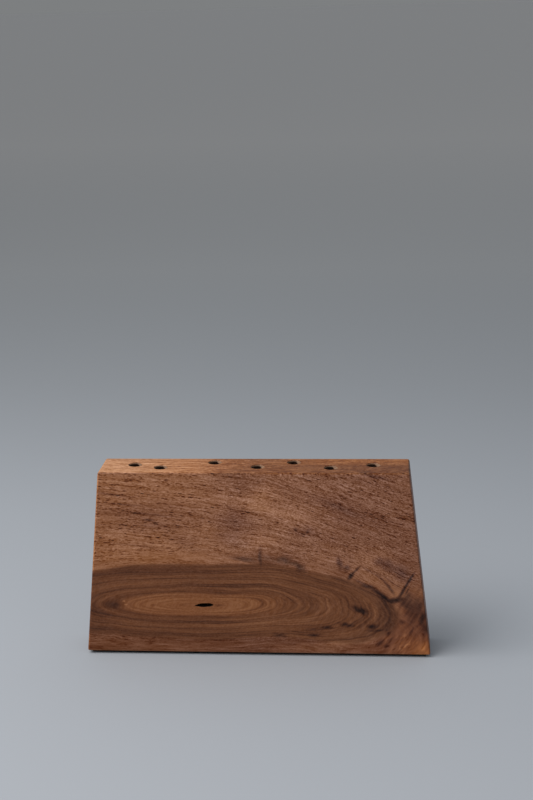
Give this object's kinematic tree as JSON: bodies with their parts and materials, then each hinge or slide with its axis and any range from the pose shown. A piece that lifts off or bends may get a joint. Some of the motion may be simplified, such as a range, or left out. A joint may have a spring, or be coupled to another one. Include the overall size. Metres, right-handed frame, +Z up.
{
  "type": "stem vase",
  "caption": "Low wooden block vase with slanted ends, round stem holes drilled in its top and a felt sheet under its foot.",
  "frame": {"origin": "the middle of the felt's underside, on the surface that the vase stands on", "axes": "+X along the length, to the right of someone who faces the front with the knot; -Y out of that front face; +Z up, out of the stem holes"},
  "size_m": [0.2596, 0.035, 0.1452],
  "materials": {
    "oiled_walnut": "sanded and oiled, satin, with open grain and a large knot on the front",
    "adhesive": "thin clear film",
    "black_felt": "pressed wool felt, matt"
  },
  "bodies": {
    "root": {"wood_block": "oiled_walnut", "adhesive_film": "adhesive", "felt_base": "black_felt"}
  },
  "joints": []
}
